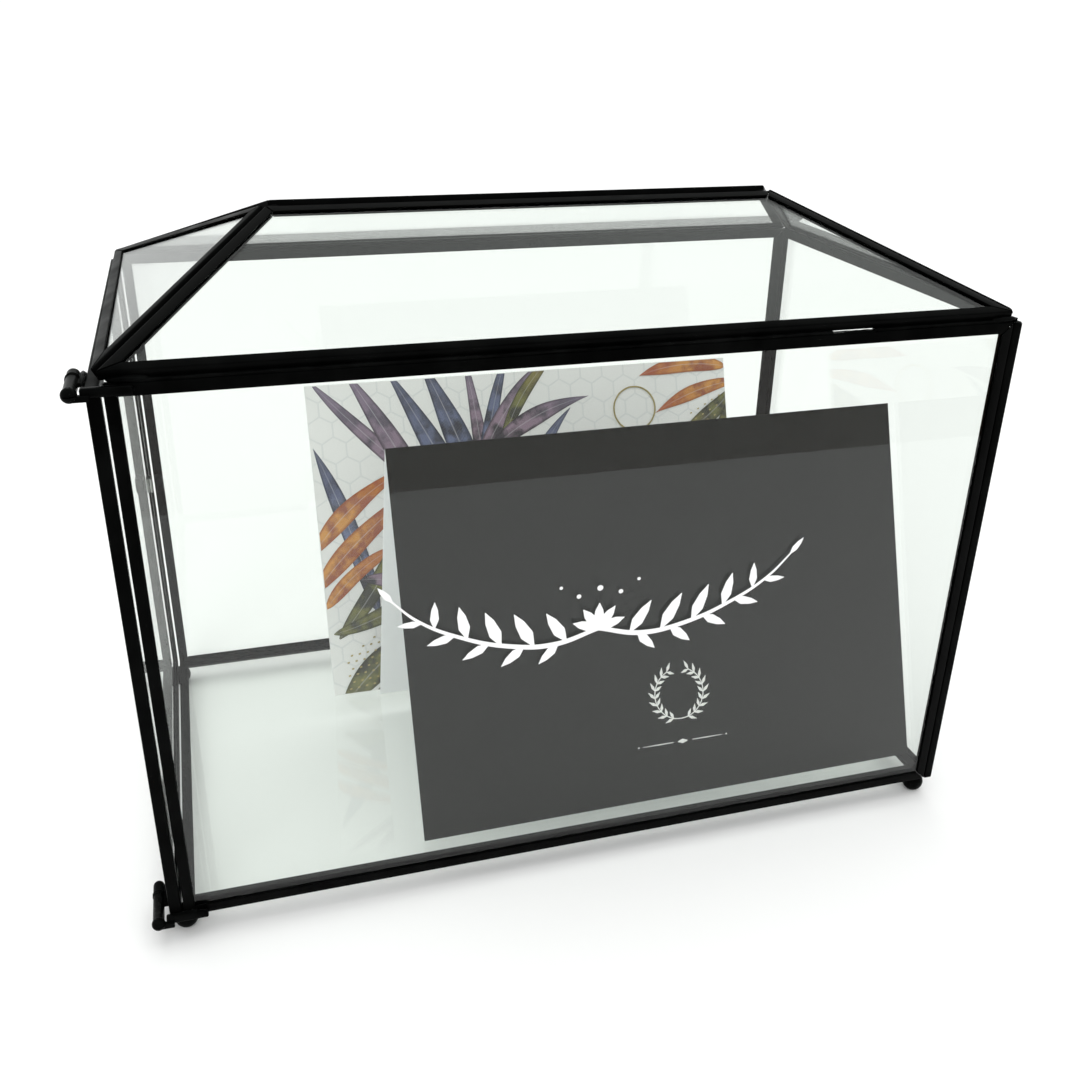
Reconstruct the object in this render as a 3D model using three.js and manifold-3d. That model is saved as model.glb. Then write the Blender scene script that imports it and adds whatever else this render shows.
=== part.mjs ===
// A glass card box for a wedding table. Nine flat panes, each edged with its own strips of black
// U channel, make a house shape with a hipped roof. The left end is a door on two small pin hinges.
// Millimetres, +Z up, the front faces -Y, and the feet stand on z = 0.

import * as THREE from "three";
import { mergeVertices } from "three/addons/utils/BufferGeometryUtils.js";
import Module from "manifold-3d";

const wasm = await Module();
wasm.setup();

// ---- driving dimensions ----

// Walls, over the outer faces of the channel
const bodyLength = 260;
const bodyDepth = 148;
const bodyHeight = 165;

// Roof, over its outer surface
const roofInsetEnds = 1.8;
const roofInsetSides = 1.0;
const roofSeatGap = 0.5;
const ridgeHeight = 29.6;
const ridgeLength = 161;
const ridgeStep = 0.8;
const backRidgeInset = 0.3;

// U channel and glass
const channelFace = 3.2;
const channelDepth = 2.8;
const channelWeb = 0.6;
const doorChannelDepth = 3.4;
const glassThickness = 1.6;
const glassClearance = 0.15;
const mitreGap = 0.3;
const panelGap = 0.3;

// Door
const doorGap = 0.7;
const doorDrop = 0.5;

// Hinges: the pivot stands off the outer corner of the box
const pivotOutX = 3.2;
const pivotOutY = 2.4;
const hingeInset = 1.2;
const bracketLength = 12;
const bracketHeight = 2.4;
const bracketThickness = 2.2;
const tongueWidth = 1.6;
const knuckleRadius = 1.95;
const knuckleGap = 0.3;
const armRadius = 1.65;
const armLength = 18;
const webLength = 9;
const webHeight = 1.2;
const pinRadius = 0.55;
const pinClearance = 0.1;
const pinStandOut = 0.2;

// Ball feet
const footRadius = 3.55;
const footPadRadius = 1.2;
const footTopRadius = 1.6;
const footInset = 4.3;

// Magnetic catch on the rear edge of the door
const catchHeight = 82;
const catchTall = 5.5;
const catchWide = 4;
const magnetThickness = 3;
const magnetGap = 0.3;
const strikerThickness = 0.9;

// Cards on show inside
const cardClearance = 0.3;
const signWidth = 178;
const signLeaf = 127;
const signThickness = 0.6;
const signFootOut = 9.6;
const signEndGap = 0.9;
const greetingWidth = 171.5;
const greetingTall = 119.5;
const greetingThickness = 0.9;
const greetingFootOut = 43.5;
const greetingCentreX = 17.4;
const greetingYaw = THREE.MathUtils.degToRad(-0.6);

// ---- places worked out from them ----

const leftX = -bodyLength / 2;
const rightX = bodyLength / 2;
const frontY = -bodyDepth / 2;
const backY = bodyDepth / 2;
const wallLeftX = leftX + doorChannelDepth + doorGap;
const wallRightX = rightX - channelDepth - panelGap;
const glassInner = (channelDepth + glassThickness) / 2;
const pivotX = leftX - pivotOutX;
const pivotY = frontY - pivotOutY;
const footDrop = Math.sqrt(footRadius ** 2 - footPadRadius ** 2);
const footRise = Math.sqrt(footRadius ** 2 - footTopRadius ** 2);
const footCentreZ = -panelGap - footRise;

// ---- finishes ----

function finish(color, roughness, metalness) {
  return () => new THREE.MeshStandardMaterial({ color, roughness, metalness });
}

const blackMetal = finish(0x161817, 0.42, 0.35);
const clearGlass = finish(0xe4f1ea, 0.04, 0);
const nickel = finish(0x8f928f, 0.3, 0.9);
const darkCard = finish(0x474a44, 0.6, 0);
const paleCard = finish(0xeceae4, 0.7, 0);

// ---- solids ----

function solid(geometry) {
  geometry.deleteAttribute("normal");
  geometry.deleteAttribute("uv");
  const merged = mergeVertices(geometry, 1e-4);
  return new wasm.Manifold(
    new wasm.Mesh({
      numProp: 3,
      vertProperties: new Float32Array(merged.attributes.position.array),
      triVerts: new Uint32Array(merged.index.array),
    }),
  );
}

function geometryOf(manifold) {
  const mesh = manifold.getMesh();
  const geometry = new THREE.BufferGeometry();
  geometry.setAttribute("position", new THREE.BufferAttribute(mesh.vertProperties, 3));
  geometry.setIndex(new THREE.BufferAttribute(mesh.triVerts, 1));
  geometry.computeVertexNormals();
  return geometry;
}

function piece(name, geometry, material) {
  const mesh = new THREE.Mesh(geometry, material());
  mesh.name = name;
  return mesh;
}

// An extruded outline between two levels of local z
function prism(outline, low, high) {
  const shape = new THREE.Shape(outline);
  const geometry = new THREE.ExtrudeGeometry(shape, {
    depth: high - low,
    bevelEnabled: false,
  });
  return geometry.translate(0, 0, low);
}

function block(low, high) {
  const size = new THREE.Vector3().subVectors(high, low);
  const middle = new THREE.Vector3().addVectors(low, high).multiplyScalar(0.5);
  return new THREE.BoxGeometry(size.x, size.y, size.z).translate(middle.x, middle.y, middle.z);
}

function uprightCylinder(radius, low, high, x, y) {
  const geometry = new THREE.CylinderGeometry(radius, radius, high - low, 24);
  return geometry.rotateX(Math.PI / 2).translate(x, y, (low + high) / 2);
}

// ---- panels: a pane of glass in mitred strips of channel ----

// Moves each edge of a convex outline inwards by its own distance
function insetOutline(outline, distances) {
  const count = outline.length;
  const lines = outline.map((start, i) => {
    const end = outline[(i + 1) % count];
    const along = new THREE.Vector2().subVectors(end, start).normalize();
    const inward = new THREE.Vector2(-along.y, along.x);
    return { point: start.clone().addScaledVector(inward, distances[i]), along };
  });
  return lines.map((line, i) => {
    const before = lines[(i + count - 1) % count];
    const offset = new THREE.Vector2().subVectors(line.point, before.point);
    const reach = offset.cross(line.along) / before.along.cross(line.along);
    return before.point.clone().addScaledVector(before.along, reach);
  });
}

function evenInset(outline, distance) {
  return insetOutline(outline, outline.map(() => distance));
}

// corners run anticlockwise seen from outside and lie on the outer face; edgeInsets shift each edge in
function panel({ name, corners, edges, edgeInsets, depth }) {
  const origin = corners[0];
  const xAxis = new THREE.Vector3().subVectors(corners[1], origin).normalize();
  const across = new THREE.Vector3().subVectors(corners[2], origin);
  const normal = new THREE.Vector3().crossVectors(xAxis, across).normalize();
  const yAxis = new THREE.Vector3().crossVectors(normal, xAxis);
  const group = new THREE.Group();
  group.position.copy(origin);
  group.quaternion.setFromRotationMatrix(new THREE.Matrix4().makeBasis(xAxis, yAxis, normal));

  const flat = corners.map((corner) => {
    const offset = new THREE.Vector3().subVectors(corner, origin);
    return new THREE.Vector2(offset.dot(xAxis), offset.dot(yAxis));
  });
  const outer = insetOutline(flat, edgeInsets);
  const inner = evenInset(outer, channelFace);
  const middle = -depth / 2;
  const grooveHalf = glassThickness / 2 + glassClearance;
  const groove = solid(
    prism(evenInset(outer, channelWeb), middle - grooveHalf, middle + grooveHalf),
  );

  edges.forEach((edge, i) => {
    const next = (i + 1) % outer.length;
    const mitred = [outer[i], outer[next], inner[next], inner[i]];
    const trimmed = insetOutline(mitred, [0, mitreGap / 2, 0, mitreGap / 2]);
    const strip = solid(prism(trimmed, -depth, 0)).subtract(groove);
    group.add(piece(`${name}_${edge}`, geometryOf(strip), blackMetal));
  });

  const paneOutline = evenInset(outer, channelWeb + glassClearance);
  const paneHalf = glassThickness / 2;
  const pane = prism(paneOutline, middle - paneHalf, middle + paneHalf);
  group.add(piece(`${name}_glass`, pane, clearGlass));
  return group;
}

const wallEdges = ["rail_bottom", "stile_right", "rail_top", "stile_left"];
const flush = [0, 0, 0, 0];

function at(x, y, z) {
  return new THREE.Vector3(x, y, z);
}

function frontWall() {
  const corners = [
    at(wallLeftX, frontY, 0),
    at(wallRightX, frontY, 0),
    at(wallRightX, frontY, bodyHeight),
    at(wallLeftX, frontY, bodyHeight),
  ];
  return panel({ name: "front", corners, edges: wallEdges, edgeInsets: flush, depth: channelDepth });
}

function backWall() {
  const corners = [
    at(wallRightX, backY, 0),
    at(wallLeftX, backY, 0),
    at(wallLeftX, backY, bodyHeight),
    at(wallRightX, backY, bodyHeight),
  ];
  const edges = ["rail_bottom", "stile_left", "rail_top", "stile_right"];
  return panel({ name: "back", corners, edges, edgeInsets: flush, depth: channelDepth });
}

function rightWall() {
  const corners = [
    at(rightX, frontY, 0),
    at(rightX, backY, 0),
    at(rightX, backY, bodyHeight),
    at(rightX, frontY, bodyHeight),
  ];
  const edges = ["rail_bottom", "stile_back", "rail_top", "stile_front"];
  return panel({ name: "right", corners, edges, edgeInsets: flush, depth: channelDepth });
}

function floorPanel() {
  const low = frontY + channelDepth + panelGap;
  const high = backY - channelDepth - panelGap;
  const corners = [
    at(wallLeftX, high, 0),
    at(wallRightX, high, 0),
    at(wallRightX, low, 0),
    at(wallLeftX, low, 0),
  ];
  const edges = ["rail_back", "rail_right", "rail_front", "rail_left"];
  return panel({ name: "floor", corners, edges, edgeInsets: flush, depth: channelDepth });
}

function doorPanel() {
  const corners = [
    at(leftX, backY, doorDrop),
    at(leftX, frontY, doorDrop),
    at(leftX, frontY, bodyHeight - doorDrop),
    at(leftX, backY, bodyHeight - doorDrop),
  ];
  const edges = ["rail_bottom", "stile_front", "rail_top", "stile_back"];
  return panel({ name: "door", corners, edges, edgeInsets: flush, depth: doorChannelDepth });
}

// ---- roof ----

const eaveX = bodyLength / 2 - roofInsetEnds;
const eaveY = bodyDepth / 2 - roofInsetSides;
const ridgeHalf = ridgeLength / 2;
const frontSlope = Math.atan2(ridgeHeight - channelDepth, eaveY);
const eaveZ = bodyHeight + roofSeatGap + channelDepth * Math.cos(frontSlope);
const backRidgeZ = bodyHeight + ridgeHeight;
const frontRidgeZ = backRidgeZ - ridgeStep;

function outwardNormal(corners) {
  const first = new THREE.Vector3().subVectors(corners[1], corners[0]);
  const second = new THREE.Vector3().subVectors(corners[2], corners[0]);
  return new THREE.Vector3().crossVectors(first, second).normalize();
}

// Two square-edged panels that meet at a fold touch along their inner edges
function foldInset(cornersA, cornersB) {
  const fold = outwardNormal(cornersA).angleTo(outwardNormal(cornersB));
  return channelDepth * Math.tan(fold / 2) + panelGap / 2;
}

// The back ridge strip stands over the front one, so the front panel stops short of it
function frontRidgeInset(frontCorners, backCorners) {
  const frontTilt = outwardNormal(frontCorners).angleTo(at(0, 0, 1));
  const backTilt = outwardNormal(backCorners).angleTo(at(0, 0, 1));
  const overhang = channelDepth * Math.sin(backTilt) - backRidgeInset * Math.cos(backTilt);
  return (channelDepth * Math.sin(frontTilt) + overhang + panelGap) / Math.cos(frontTilt);
}

function roof() {
  const front = [
    at(-eaveX, -eaveY, eaveZ),
    at(eaveX, -eaveY, eaveZ),
    at(ridgeHalf, 0, frontRidgeZ),
    at(-ridgeHalf, 0, frontRidgeZ),
  ];
  const back = [
    at(eaveX, eaveY, eaveZ),
    at(-eaveX, eaveY, eaveZ),
    at(-ridgeHalf, 0, backRidgeZ),
    at(ridgeHalf, 0, backRidgeZ),
  ];
  const right = [
    at(eaveX, -eaveY, eaveZ),
    at(eaveX, eaveY, eaveZ),
    at(ridgeHalf, 0, frontRidgeZ),
  ];
  const left = [
    at(-eaveX, eaveY, eaveZ),
    at(-eaveX, -eaveY, eaveZ),
    at(-ridgeHalf, 0, frontRidgeZ),
  ];
  const frontHip = foldInset(front, right);
  const backHip = foldInset(back, right);
  const ridge = frontRidgeInset(front, back);
  const depth = channelDepth;
  const group = new THREE.Group();
  group.add(
    panel({
      name: "roof_front",
      corners: front,
      edges: ["eave", "hip_right", "ridge", "hip_left"],
      edgeInsets: [0, frontHip, ridge, frontHip],
      depth,
    }),
    panel({
      name: "roof_back",
      corners: back,
      edges: ["eave", "hip_left", "ridge", "hip_right"],
      edgeInsets: [0, backHip, backRidgeInset, backHip],
      depth,
    }),
    panel({
      name: "roof_right",
      corners: right,
      edges: ["eave", "hip_back", "hip_front"],
      edgeInsets: [0, backHip, frontHip],
      depth,
    }),
    panel({
      name: "roof_left",
      corners: left,
      edges: ["eave", "hip_front", "hip_back"],
      edgeInsets: [0, frontHip, backHip],
      depth,
    }),
  );
  return group;
}

// ---- hinges: a ball knuckle split level, the lower half on the box and the upper on the door ----

function knuckle(centreZ) {
  return solid(new THREE.SphereGeometry(knuckleRadius, 24, 16).translate(pivotX, pivotY, centreZ));
}

// A block wide enough to cut all of the knuckle between two levels
function knuckleSlice(low, high) {
  const reach = knuckleRadius + 1;
  return solid(
    block(at(pivotX - reach, pivotY - reach, low), at(pivotX + reach, pivotY + reach, high)),
  );
}

function pinHole(centreZ) {
  const half = knuckleRadius + pinStandOut + 1;
  const radius = pinRadius + pinClearance;
  return solid(uprightCylinder(radius, centreZ - half, centreZ + half, pivotX, pivotY));
}

function bracket(name, centreZ) {
  const splitZ = centreZ - knuckleGap / 2;
  const barLeft = pivotX + knuckleRadius + panelGap;
  const barBack = frontY - panelGap;
  const lowZ = centreZ - bracketHeight / 2;
  const bar = solid(
    block(
      at(barLeft, barBack - bracketThickness, lowZ),
      at(barLeft + bracketLength, barBack, centreZ + bracketHeight / 2),
    ),
  );
  const tongue = solid(
    block(
      at(pivotX, pivotY - tongueWidth / 2, lowZ),
      at(barLeft + bracketThickness, pivotY + tongueWidth / 2, splitZ),
    ),
  );
  const upper = knuckleSlice(splitZ, centreZ + 2 * knuckleRadius);
  const lowerHalf = knuckle(centreZ).subtract(upper);
  return piece(
    `${name}_bracket`,
    geometryOf(bar.add(tongue).add(lowerHalf).subtract(pinHole(centreZ))),
    blackMetal,
  );
}

function arm(name, centreZ) {
  const splitZ = centreZ + knuckleGap / 2;
  const clearRadius = knuckleRadius + panelGap;
  const tube = new THREE.CapsuleGeometry(armRadius, armLength - armRadius, 6, 20);
  const tubeMiddle = pivotY + (armLength - armRadius) / 2;
  const rod = solid(tube.translate(pivotX, tubeMiddle, centreZ));
  const webBack = pivotY + armLength - armRadius;
  const web = solid(
    block(
      at(pivotX, webBack - webLength, centreZ - webHeight / 2),
      at(leftX - panelGap, webBack, centreZ + webHeight / 2),
    ),
  );
  const below = centreZ - 2 * knuckleRadius;
  const relief = solid(uprightCylinder(clearRadius, below, splitZ, pivotX, pivotY));
  const lower = knuckleSlice(below, splitZ);
  const upperHalf = knuckle(centreZ).subtract(lower);
  return piece(
    `${name}_arm`,
    geometryOf(rod.add(web).subtract(relief).add(upperHalf).subtract(pinHole(centreZ))),
    blackMetal,
  );
}

function pin(name, centreZ) {
  const half = knuckleRadius + pinStandOut;
  const shaft = uprightCylinder(pinRadius, centreZ - half, centreZ + half, pivotX, pivotY);
  return piece(`${name}_pin`, shaft, blackMetal);
}

function hinge(name, centreZ) {
  const group = new THREE.Group();
  group.add(bracket(name, centreZ), arm(name, centreZ), pin(name, centreZ));
  return group;
}

// ---- feet ----

function foot(name, x, y) {
  const start = Math.asin(footPadRadius / footRadius);
  const end = Math.PI - Math.asin(footTopRadius / footRadius);
  const profile = [new THREE.Vector2(0, -footDrop)];
  for (let i = 0; i <= 12; i += 1) {
    const angle = start + ((end - start) * i) / 12;
    profile.push(
      new THREE.Vector2(footRadius * Math.sin(angle), -footRadius * Math.cos(angle)),
    );
  }
  profile.push(new THREE.Vector2(0, footRise));
  const ball = new THREE.LatheGeometry(profile, 24).rotateX(Math.PI / 2);
  const mesh = piece(name, geometryOf(solid(ball)), blackMetal);
  mesh.position.set(x, y, footCentreZ);
  return mesh;
}

function feet() {
  const group = new THREE.Group();
  for (const [side, x] of [["left", leftX + footInset], ["right", rightX - footInset]]) {
    for (const [end, y] of [["front", frontY + footInset], ["back", backY - footInset]]) {
      group.add(foot(`foot_${end}_${side}`, x, y));
    }
  }
  return group;
}

// ---- catch ----

function doorCatch() {
  const low = catchHeight - catchTall / 2;
  const high = catchHeight + catchTall / 2;
  const magnetBack = backY - channelDepth - panelGap;
  const magnetFace = wallLeftX + magnetGap;
  const magnet = block(
    at(magnetFace, magnetBack - catchWide, low),
    at(magnetFace + magnetThickness, magnetBack, high),
  );
  const strikerBack = backY - channelFace - panelGap;
  const doorGlassX = leftX + (doorChannelDepth + glassThickness) / 2 + glassClearance;
  const striker = block(
    at(doorGlassX, strikerBack - catchWide, low),
    at(doorGlassX + strikerThickness, strikerBack, high),
  );
  const group = new THREE.Group();
  group.add(piece("catch_magnet", magnet, blackMetal), piece("catch_striker", striker, nickel));
  return group;
}

// ---- cards ----

const cardFloor = glassInner + cardClearance;
const backGlassY = backY - glassInner;
const greetingFootY = backGlassY - greetingFootOut;
const yawReach = (greetingWidth / 2) * Math.abs(Math.sin(greetingYaw));

// A folded card that stands as a tent, its right end lifted onto the floor's edge strip
function signCard() {
  const frontFoot = frontY + glassInner + signFootOut;
  const backFoot = greetingFootY - yawReach - cardClearance;
  const half = (backFoot - frontFoot) / 2;
  const lean = Math.asin(half / signLeaf);
  const rise = signLeaf * Math.cos(lean);
  const footWide = signThickness / Math.cos(lean);
  const foldDrop = signThickness / Math.sin(lean);
  const outline = [
    new THREE.Vector2(-half, 0),
    new THREE.Vector2(-half + footWide, 0),
    new THREE.Vector2(0, rise - foldDrop),
    new THREE.Vector2(half - footWide, 0),
    new THREE.Vector2(half, 0),
    new THREE.Vector2(0, rise),
  ];
  const card = prism(outline, 0, signWidth);
  card.rotateX(Math.PI / 2).rotateZ(Math.PI / 2);
  const mesh = piece("sign_card", card, darkCard);
  const right = rightX - glassInner - signEndGap;
  mesh.position.set(right - signWidth, (frontFoot + backFoot) / 2, cardFloor);
  mesh.rotation.y = -Math.atan((channelDepth - glassInner) / signWidth);
  return mesh;
}

// A closed greeting card that leans back on the rear glass
function greetingCard() {
  const run = greetingFootOut - cardClearance - yawReach - greetingThickness;
  const lean = Math.asin(run / greetingTall);
  const card = block(
    at(-greetingWidth / 2, 0, 0),
    at(greetingWidth / 2, greetingThickness, greetingTall),
  );
  card.rotateX(-lean);
  const mesh = piece("greeting_card", card, paleCard);
  const heel = greetingThickness * Math.sin(lean);
  mesh.position.set(greetingCentreX, greetingFootY, cardFloor + heel);
  mesh.rotation.z = greetingYaw;
  return mesh;
}

// ---- assembly ----

const box = new THREE.Group();
box.add(frontWall(), backWall(), rightWall(), floorPanel(), doorPanel(), roof());
box.add(hinge("hinge_top", bodyHeight - hingeInset));
box.add(hinge("hinge_bottom", hingeInset));
box.add(feet(), doorCatch(), signCard(), greetingCard());

// The origin is at the middle of the footprint, on the surface the feet stand on
const leftReach = pivotX - knuckleRadius;
const frontReach = pivotY - knuckleRadius;
box.position.set(
  -(leftReach + rightX) / 2,
  -(frontReach + backY) / 2,
  footDrop - footCentreZ,
);

export default box;
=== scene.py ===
import math

import bmesh
import bpy
from mathutils import Matrix, Vector


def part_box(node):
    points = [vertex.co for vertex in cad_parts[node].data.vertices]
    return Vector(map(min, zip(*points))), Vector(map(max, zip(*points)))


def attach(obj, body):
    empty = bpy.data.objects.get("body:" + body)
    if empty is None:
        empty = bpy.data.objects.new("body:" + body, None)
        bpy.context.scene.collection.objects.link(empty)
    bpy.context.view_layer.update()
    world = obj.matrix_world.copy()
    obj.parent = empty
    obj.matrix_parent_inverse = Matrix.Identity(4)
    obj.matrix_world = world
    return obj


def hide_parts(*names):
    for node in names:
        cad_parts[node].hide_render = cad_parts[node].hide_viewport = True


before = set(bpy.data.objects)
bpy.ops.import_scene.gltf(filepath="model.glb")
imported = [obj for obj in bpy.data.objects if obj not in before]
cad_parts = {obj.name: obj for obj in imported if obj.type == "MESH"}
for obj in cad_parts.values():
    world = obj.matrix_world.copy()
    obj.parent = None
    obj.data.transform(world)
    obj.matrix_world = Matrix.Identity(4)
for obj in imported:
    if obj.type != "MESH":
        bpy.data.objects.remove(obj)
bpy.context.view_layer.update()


# ---- Table, room light and camera ----
# The box is shown on a plain white table, in a white room lit from overhead and a little in front.
# A dark card lies on the table in front, out of sight: only what is glossy mirrors it.

def add_node(tree, kind, plugs=(), **settings):
    """One shader node. Plugs give a socket either a value or another node's output."""
    made = tree.nodes.new("ShaderNode" + kind)
    for key, value in settings.items():
        setattr(made, key, value)
    for socket, source in dict(plugs).items():
        if isinstance(source, bpy.types.NodeSocket):
            tree.links.new(source, made.inputs[socket])
        else:
            made.inputs[socket].default_value = source
    return made


def mix_colours(tree, share, first, second):
    """A node that runs from the first colour to the second. Its colour is output 2."""
    return add_node(tree, "Mix", {0: share, 6: first, 7: second}, data_type="RGBA")


def new_material(name):
    """An empty material and its tree."""
    material = bpy.data.materials.new(name)
    material.use_nodes = True
    material.node_tree.nodes.clear()
    return material, material.node_tree


def show(tree, shader):
    """Sends a shader to the material's output."""
    output = tree.nodes.new("ShaderNodeOutputMaterial")
    tree.links.new(shader, output.inputs["Surface"])


def deselect_all():
    """Nothing is left selected or active before a piece is made."""
    if bpy.context.object and bpy.context.object.mode != "OBJECT":
        bpy.ops.object.mode_set(mode="OBJECT")
    bpy.ops.object.select_all(action="DESELECT")


mm = 0.001
table_width = 24.0
table_white = (0.93, 0.93, 0.93, 1)

deselect_all()
bpy.ops.mesh.primitive_plane_add(size=table_width, location=(0, 0, 0))
table = bpy.context.object
table.name = "table"
table_paint, tree = new_material("table_white")
place = add_node(tree, "TexCoord")
mottle = add_node(tree, "TexNoise", {"Vector": place.outputs["Object"], "Scale": 3.0})
white = mix_colours(tree, mottle.outputs["Fac"], table_white, (0.95, 0.95, 0.95, 1))
matt = add_node(tree, "BsdfPrincipled", {"Base Color": white.outputs[2], "Roughness": 0.8})
matt.inputs["Specular IOR Level"].default_value = 0.1
show(tree, matt.outputs[0])
table.data.materials.append(table_paint)

flag_near = -0.385
flag_deep = 1.2
flag_wide = 3.0
flag_brown = (0.12, 0.08, 0.06, 1)
deselect_all()
bpy.ops.mesh.primitive_plane_add(size=1, location=(0, flag_near - flag_deep / 2, 1 * mm))
flag = bpy.context.object
flag.name = "reflection_card"
flag.scale = (flag_wide, flag_deep, 1)
flag_paint, tree = new_material("reflection_card_brown")
matt = add_node(tree, "BsdfPrincipled", {"Base Color": flag_brown, "Roughness": 0.9})
show(tree, matt.outputs[0])
flag.data.materials.append(flag_paint)
flag.visible_camera = False
flag.visible_diffuse = False
flag.visible_transmission = False
flag.visible_shadow = False

room_overhead = (0.70, 0.73, 0.71, 1)
room_front = (0.26, 0.26, 0.26, 1)
room_back = (0.80, 0.82, 0.81, 1)
room_seen = (1.06, 1.06, 1.06, 1)
room_fill = (0.93, 0.94, 0.93, 1)
room = bpy.data.worlds.new("white_room")
bpy.context.scene.world = room
room.use_nodes = True
tree = room.node_tree
tree.nodes.clear()
place = add_node(tree, "TexCoord")
axes = add_node(tree, "SeparateXYZ", {0: place.outputs["Generated"]})
depth = add_node(
    tree, "MapRange", {"Value": axes.outputs["Y"], "From Min": -0.6, "From Max": 0.5}
)
walls = mix_colours(tree, depth.outputs[0], room_front, room_back)
height = add_node(
    tree, "MapRange", {"Value": axes.outputs["Z"], "From Min": 0.1, "From Max": 0.75}
)
inside = mix_colours(tree, height.outputs[0], walls.outputs[2], room_overhead)
ray = add_node(tree, "LightPath")
seen = mix_colours(tree, ray.outputs["Is Camera Ray"], inside.outputs[2], room_seen)
filled = mix_colours(tree, ray.outputs["Is Diffuse Ray"], seen.outputs[2], room_fill)
glow = add_node(tree, "Background", {"Color": filled.outputs[2], "Strength": 1.0})
output = tree.nodes.new("ShaderNodeOutputWorld")
tree.links.new(glow.outputs[0], output.inputs["Surface"])


def hang_sun(name, aim, spread, strength):
    """A soft distant light that shines along a direction, the same all over the table."""
    lamp = bpy.data.lights.new(name, "SUN")
    lamp.angle = math.radians(spread)
    lamp.energy = strength
    light = bpy.data.objects.new(name, lamp)
    bpy.context.collection.objects.link(light)
    light.rotation_euler = Vector(aim).to_track_quat("-Z", "Y").to_euler()
    light.visible_glossy = False
    light.visible_transmission = False
    return light


hang_sun("overhead_light", (-0.1, -0.25, -1), 60, 0.80)
hang_sun("front_light", (0.35, 0.75, -0.8), 22, 0.50)

camera_data = bpy.data.cameras.new("camera")
camera_data.lens = 37.951
camera_data.sensor_width = 36
camera_data.clip_start = 0.01
camera = bpy.data.objects.new("camera", camera_data)
bpy.context.collection.objects.link(camera)
camera.location = (-0.09810, -0.34773, 0.25656)
camera.rotation_euler = [math.radians(turn) for turn in (64.378, -0.908, -16.370)]
bpy.context.scene.camera = camera
bpy.context.scene.view_settings.view_transform = "Standard"


# ---- Channel strips ----
# Every pane is edged with its own strips of folded U channel, thin brass sheet rolled round the
# glass, mitred at the corners, soldered there and sprayed satin black with the whole box.

def new_group(name, inputs, outputs):
    """A shader group with named sockets. Returns the tree, its inputs and its outputs."""
    tree = bpy.data.node_groups.new(name, "ShaderNodeTree")
    for label, kind in inputs.items():
        tree.interface.new_socket(label, in_out="INPUT", socket_type="NodeSocket" + kind)
    for label, kind in outputs.items():
        tree.interface.new_socket(label, in_out="OUTPUT", socket_type="NodeSocket" + kind)
    return tree, tree.nodes.new("NodeGroupInput"), tree.nodes.new("NodeGroupOutput")


def place_group(tree, group, plugs):
    """Places a shader group in a material with its own values."""
    made = tree.nodes.new("ShaderNodeGroup")
    made.node_tree = group
    for socket, source in plugs.items():
        if isinstance(source, bpy.types.NodeSocket):
            tree.links.new(source, made.inputs[socket])
        else:
            made.inputs[socket].default_value = source
    return made


# Sprayed paint: cloudy in tone and gloss, with a fine orange peel and a few dust nibs
sprayed_coat, start, end = new_group(
    "sprayed_coat",
    {
        "Deep": "Color",
        "Dusty": "Color",
        "Smoothest": "Float",
        "Roughest": "Float",
        "Peel": "Float",
    },
    {"Color": "Color", "Roughness": "Float", "Height": "Float"},
)
tree = sprayed_coat
place = add_node(tree, "TexCoord")
cloud = add_node(
    tree, "TexNoise", {"Vector": place.outputs["Object"], "Scale": 90.0, "Detail": 4.0}
)
cloud_range = add_node(
    tree, "MapRange", {"Value": cloud.outputs["Fac"], "From Min": 0.35, "From Max": 0.7}
)
tone = mix_colours(tree, cloud_range.outputs[0], start.outputs["Deep"], start.outputs["Dusty"])
gloss = add_node(
    tree,
    "MapRange",
    {
        "Value": cloud.outputs["Fac"],
        "From Min": 0.3,
        "From Max": 0.7,
        "To Min": start.outputs["Smoothest"],
        "To Max": start.outputs["Roughest"],
    },
)
peel = add_node(
    tree,
    "TexNoise",
    {"Vector": place.outputs["Object"], "Scale": start.outputs["Peel"], "Detail": 2.0},
)
nibs = add_node(
    tree, "TexVoronoi", {"Vector": place.outputs["Object"], "Scale": 260.0}, feature="F1"
)
nib_height = add_node(
    tree,
    "MapRange",
    {"Value": nibs.outputs["Distance"], "From Min": 0.0, "From Max": 0.08, "To Min": 0.6, "To Max": 0.0},
)
relief = add_node(
    tree, "Math", {0: peel.outputs["Fac"], 1: nib_height.outputs[0]}, operation="ADD"
)
tree.links.new(tone.outputs[2], end.inputs["Color"])
tree.links.new(gloss.outputs[0], end.inputs["Roughness"])
tree.links.new(relief.outputs[0], end.inputs["Height"])


def black_finish(name, deep, dusty, smoothest, roughest, peel, bump):
    """A black sprayed finish from the shared coat."""
    material, tree = new_material(name)
    coat = place_group(
        tree,
        sprayed_coat,
        {
            "Deep": deep,
            "Dusty": dusty,
            "Smoothest": smoothest,
            "Roughest": roughest,
            "Peel": peel,
        },
    )
    lift = add_node(
        tree, "Bump", {"Height": coat.outputs["Height"], "Strength": bump, "Distance": 0.05 * mm}
    )
    paint = add_node(
        tree,
        "BsdfPrincipled",
        {
            "Base Color": coat.outputs["Color"],
            "Roughness": coat.outputs["Roughness"],
            "Normal": lift.outputs[0],
        },
    )
    paint.inputs["Specular IOR Level"].default_value = 0.022
    show(tree, paint.outputs[0])
    return material


channel_black = black_finish(
    "channel_black",
    deep=(0.0007, 0.0008, 0.0008, 1),
    dusty=(0.0024, 0.0026, 0.0025, 1),
    smoothest=0.30,
    roughest=0.46,
    peel=900.0,
    bump=0.25,
)


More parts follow.
